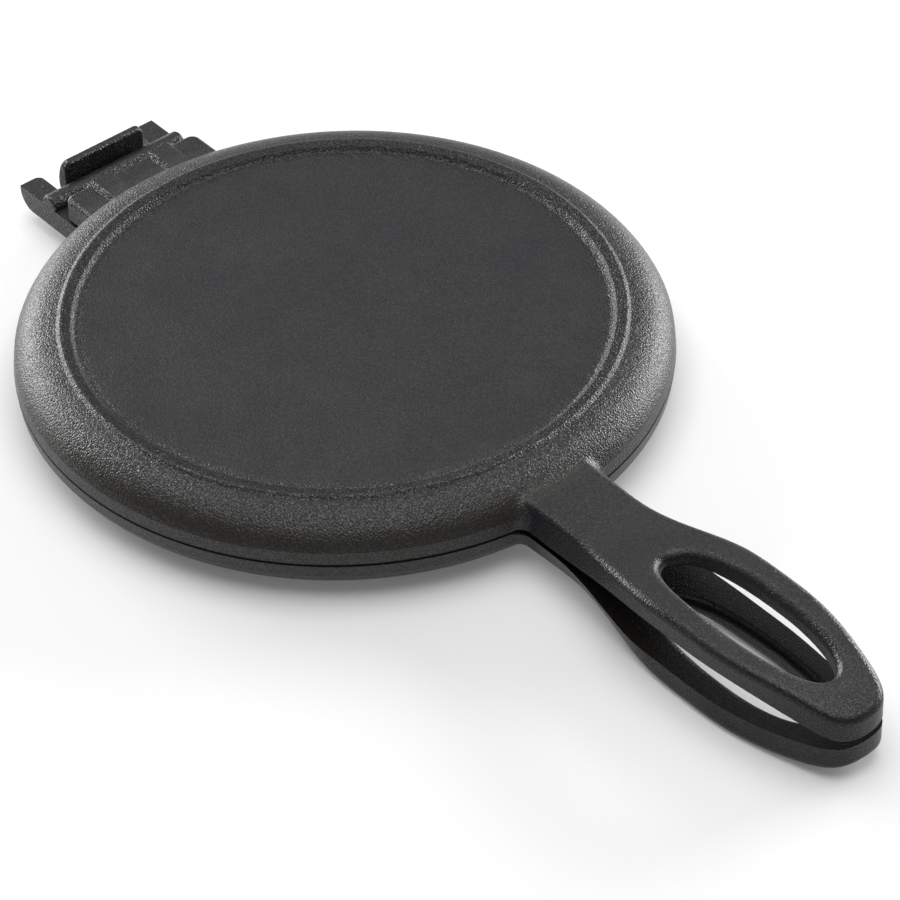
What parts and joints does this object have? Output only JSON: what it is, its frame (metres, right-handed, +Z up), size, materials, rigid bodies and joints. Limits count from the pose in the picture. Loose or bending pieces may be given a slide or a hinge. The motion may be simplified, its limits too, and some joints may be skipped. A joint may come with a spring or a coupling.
{
  "type": "pie iron",
  "caption": "Round cast-iron pie iron: two dished plates that close on each other, loop handles and a lift-off hook hinge at the back.",
  "frame": {"origin": "bottom centre of the closed iron's bounding box, on the surface that it lies on", "axes": "+X towards the handle tips, the hinge is at -X; +Z up through both plates; +Y across, to the left seen from the hinge looking towards the handle"},
  "size_m": [0.3922, 0.22, 0.0307],
  "materials": {
    "cast_iron": "seasoned black sand casting, fine pebbled grain, dull satin"
  },
  "bodies": {
    "lower_half": {"lower_half": "cast_iron"},
    "upper_half": {"upper_half": "cast_iron"}
  },
  "joints": [
    {"name": "lid_hinge", "type": "hinge", "parent": "lower_half", "child": "upper_half", "pos_m": [-0.1794, 0, 0.01445], "axis": [0, -1, 0], "range_deg": [0, 135]}
  ]
}
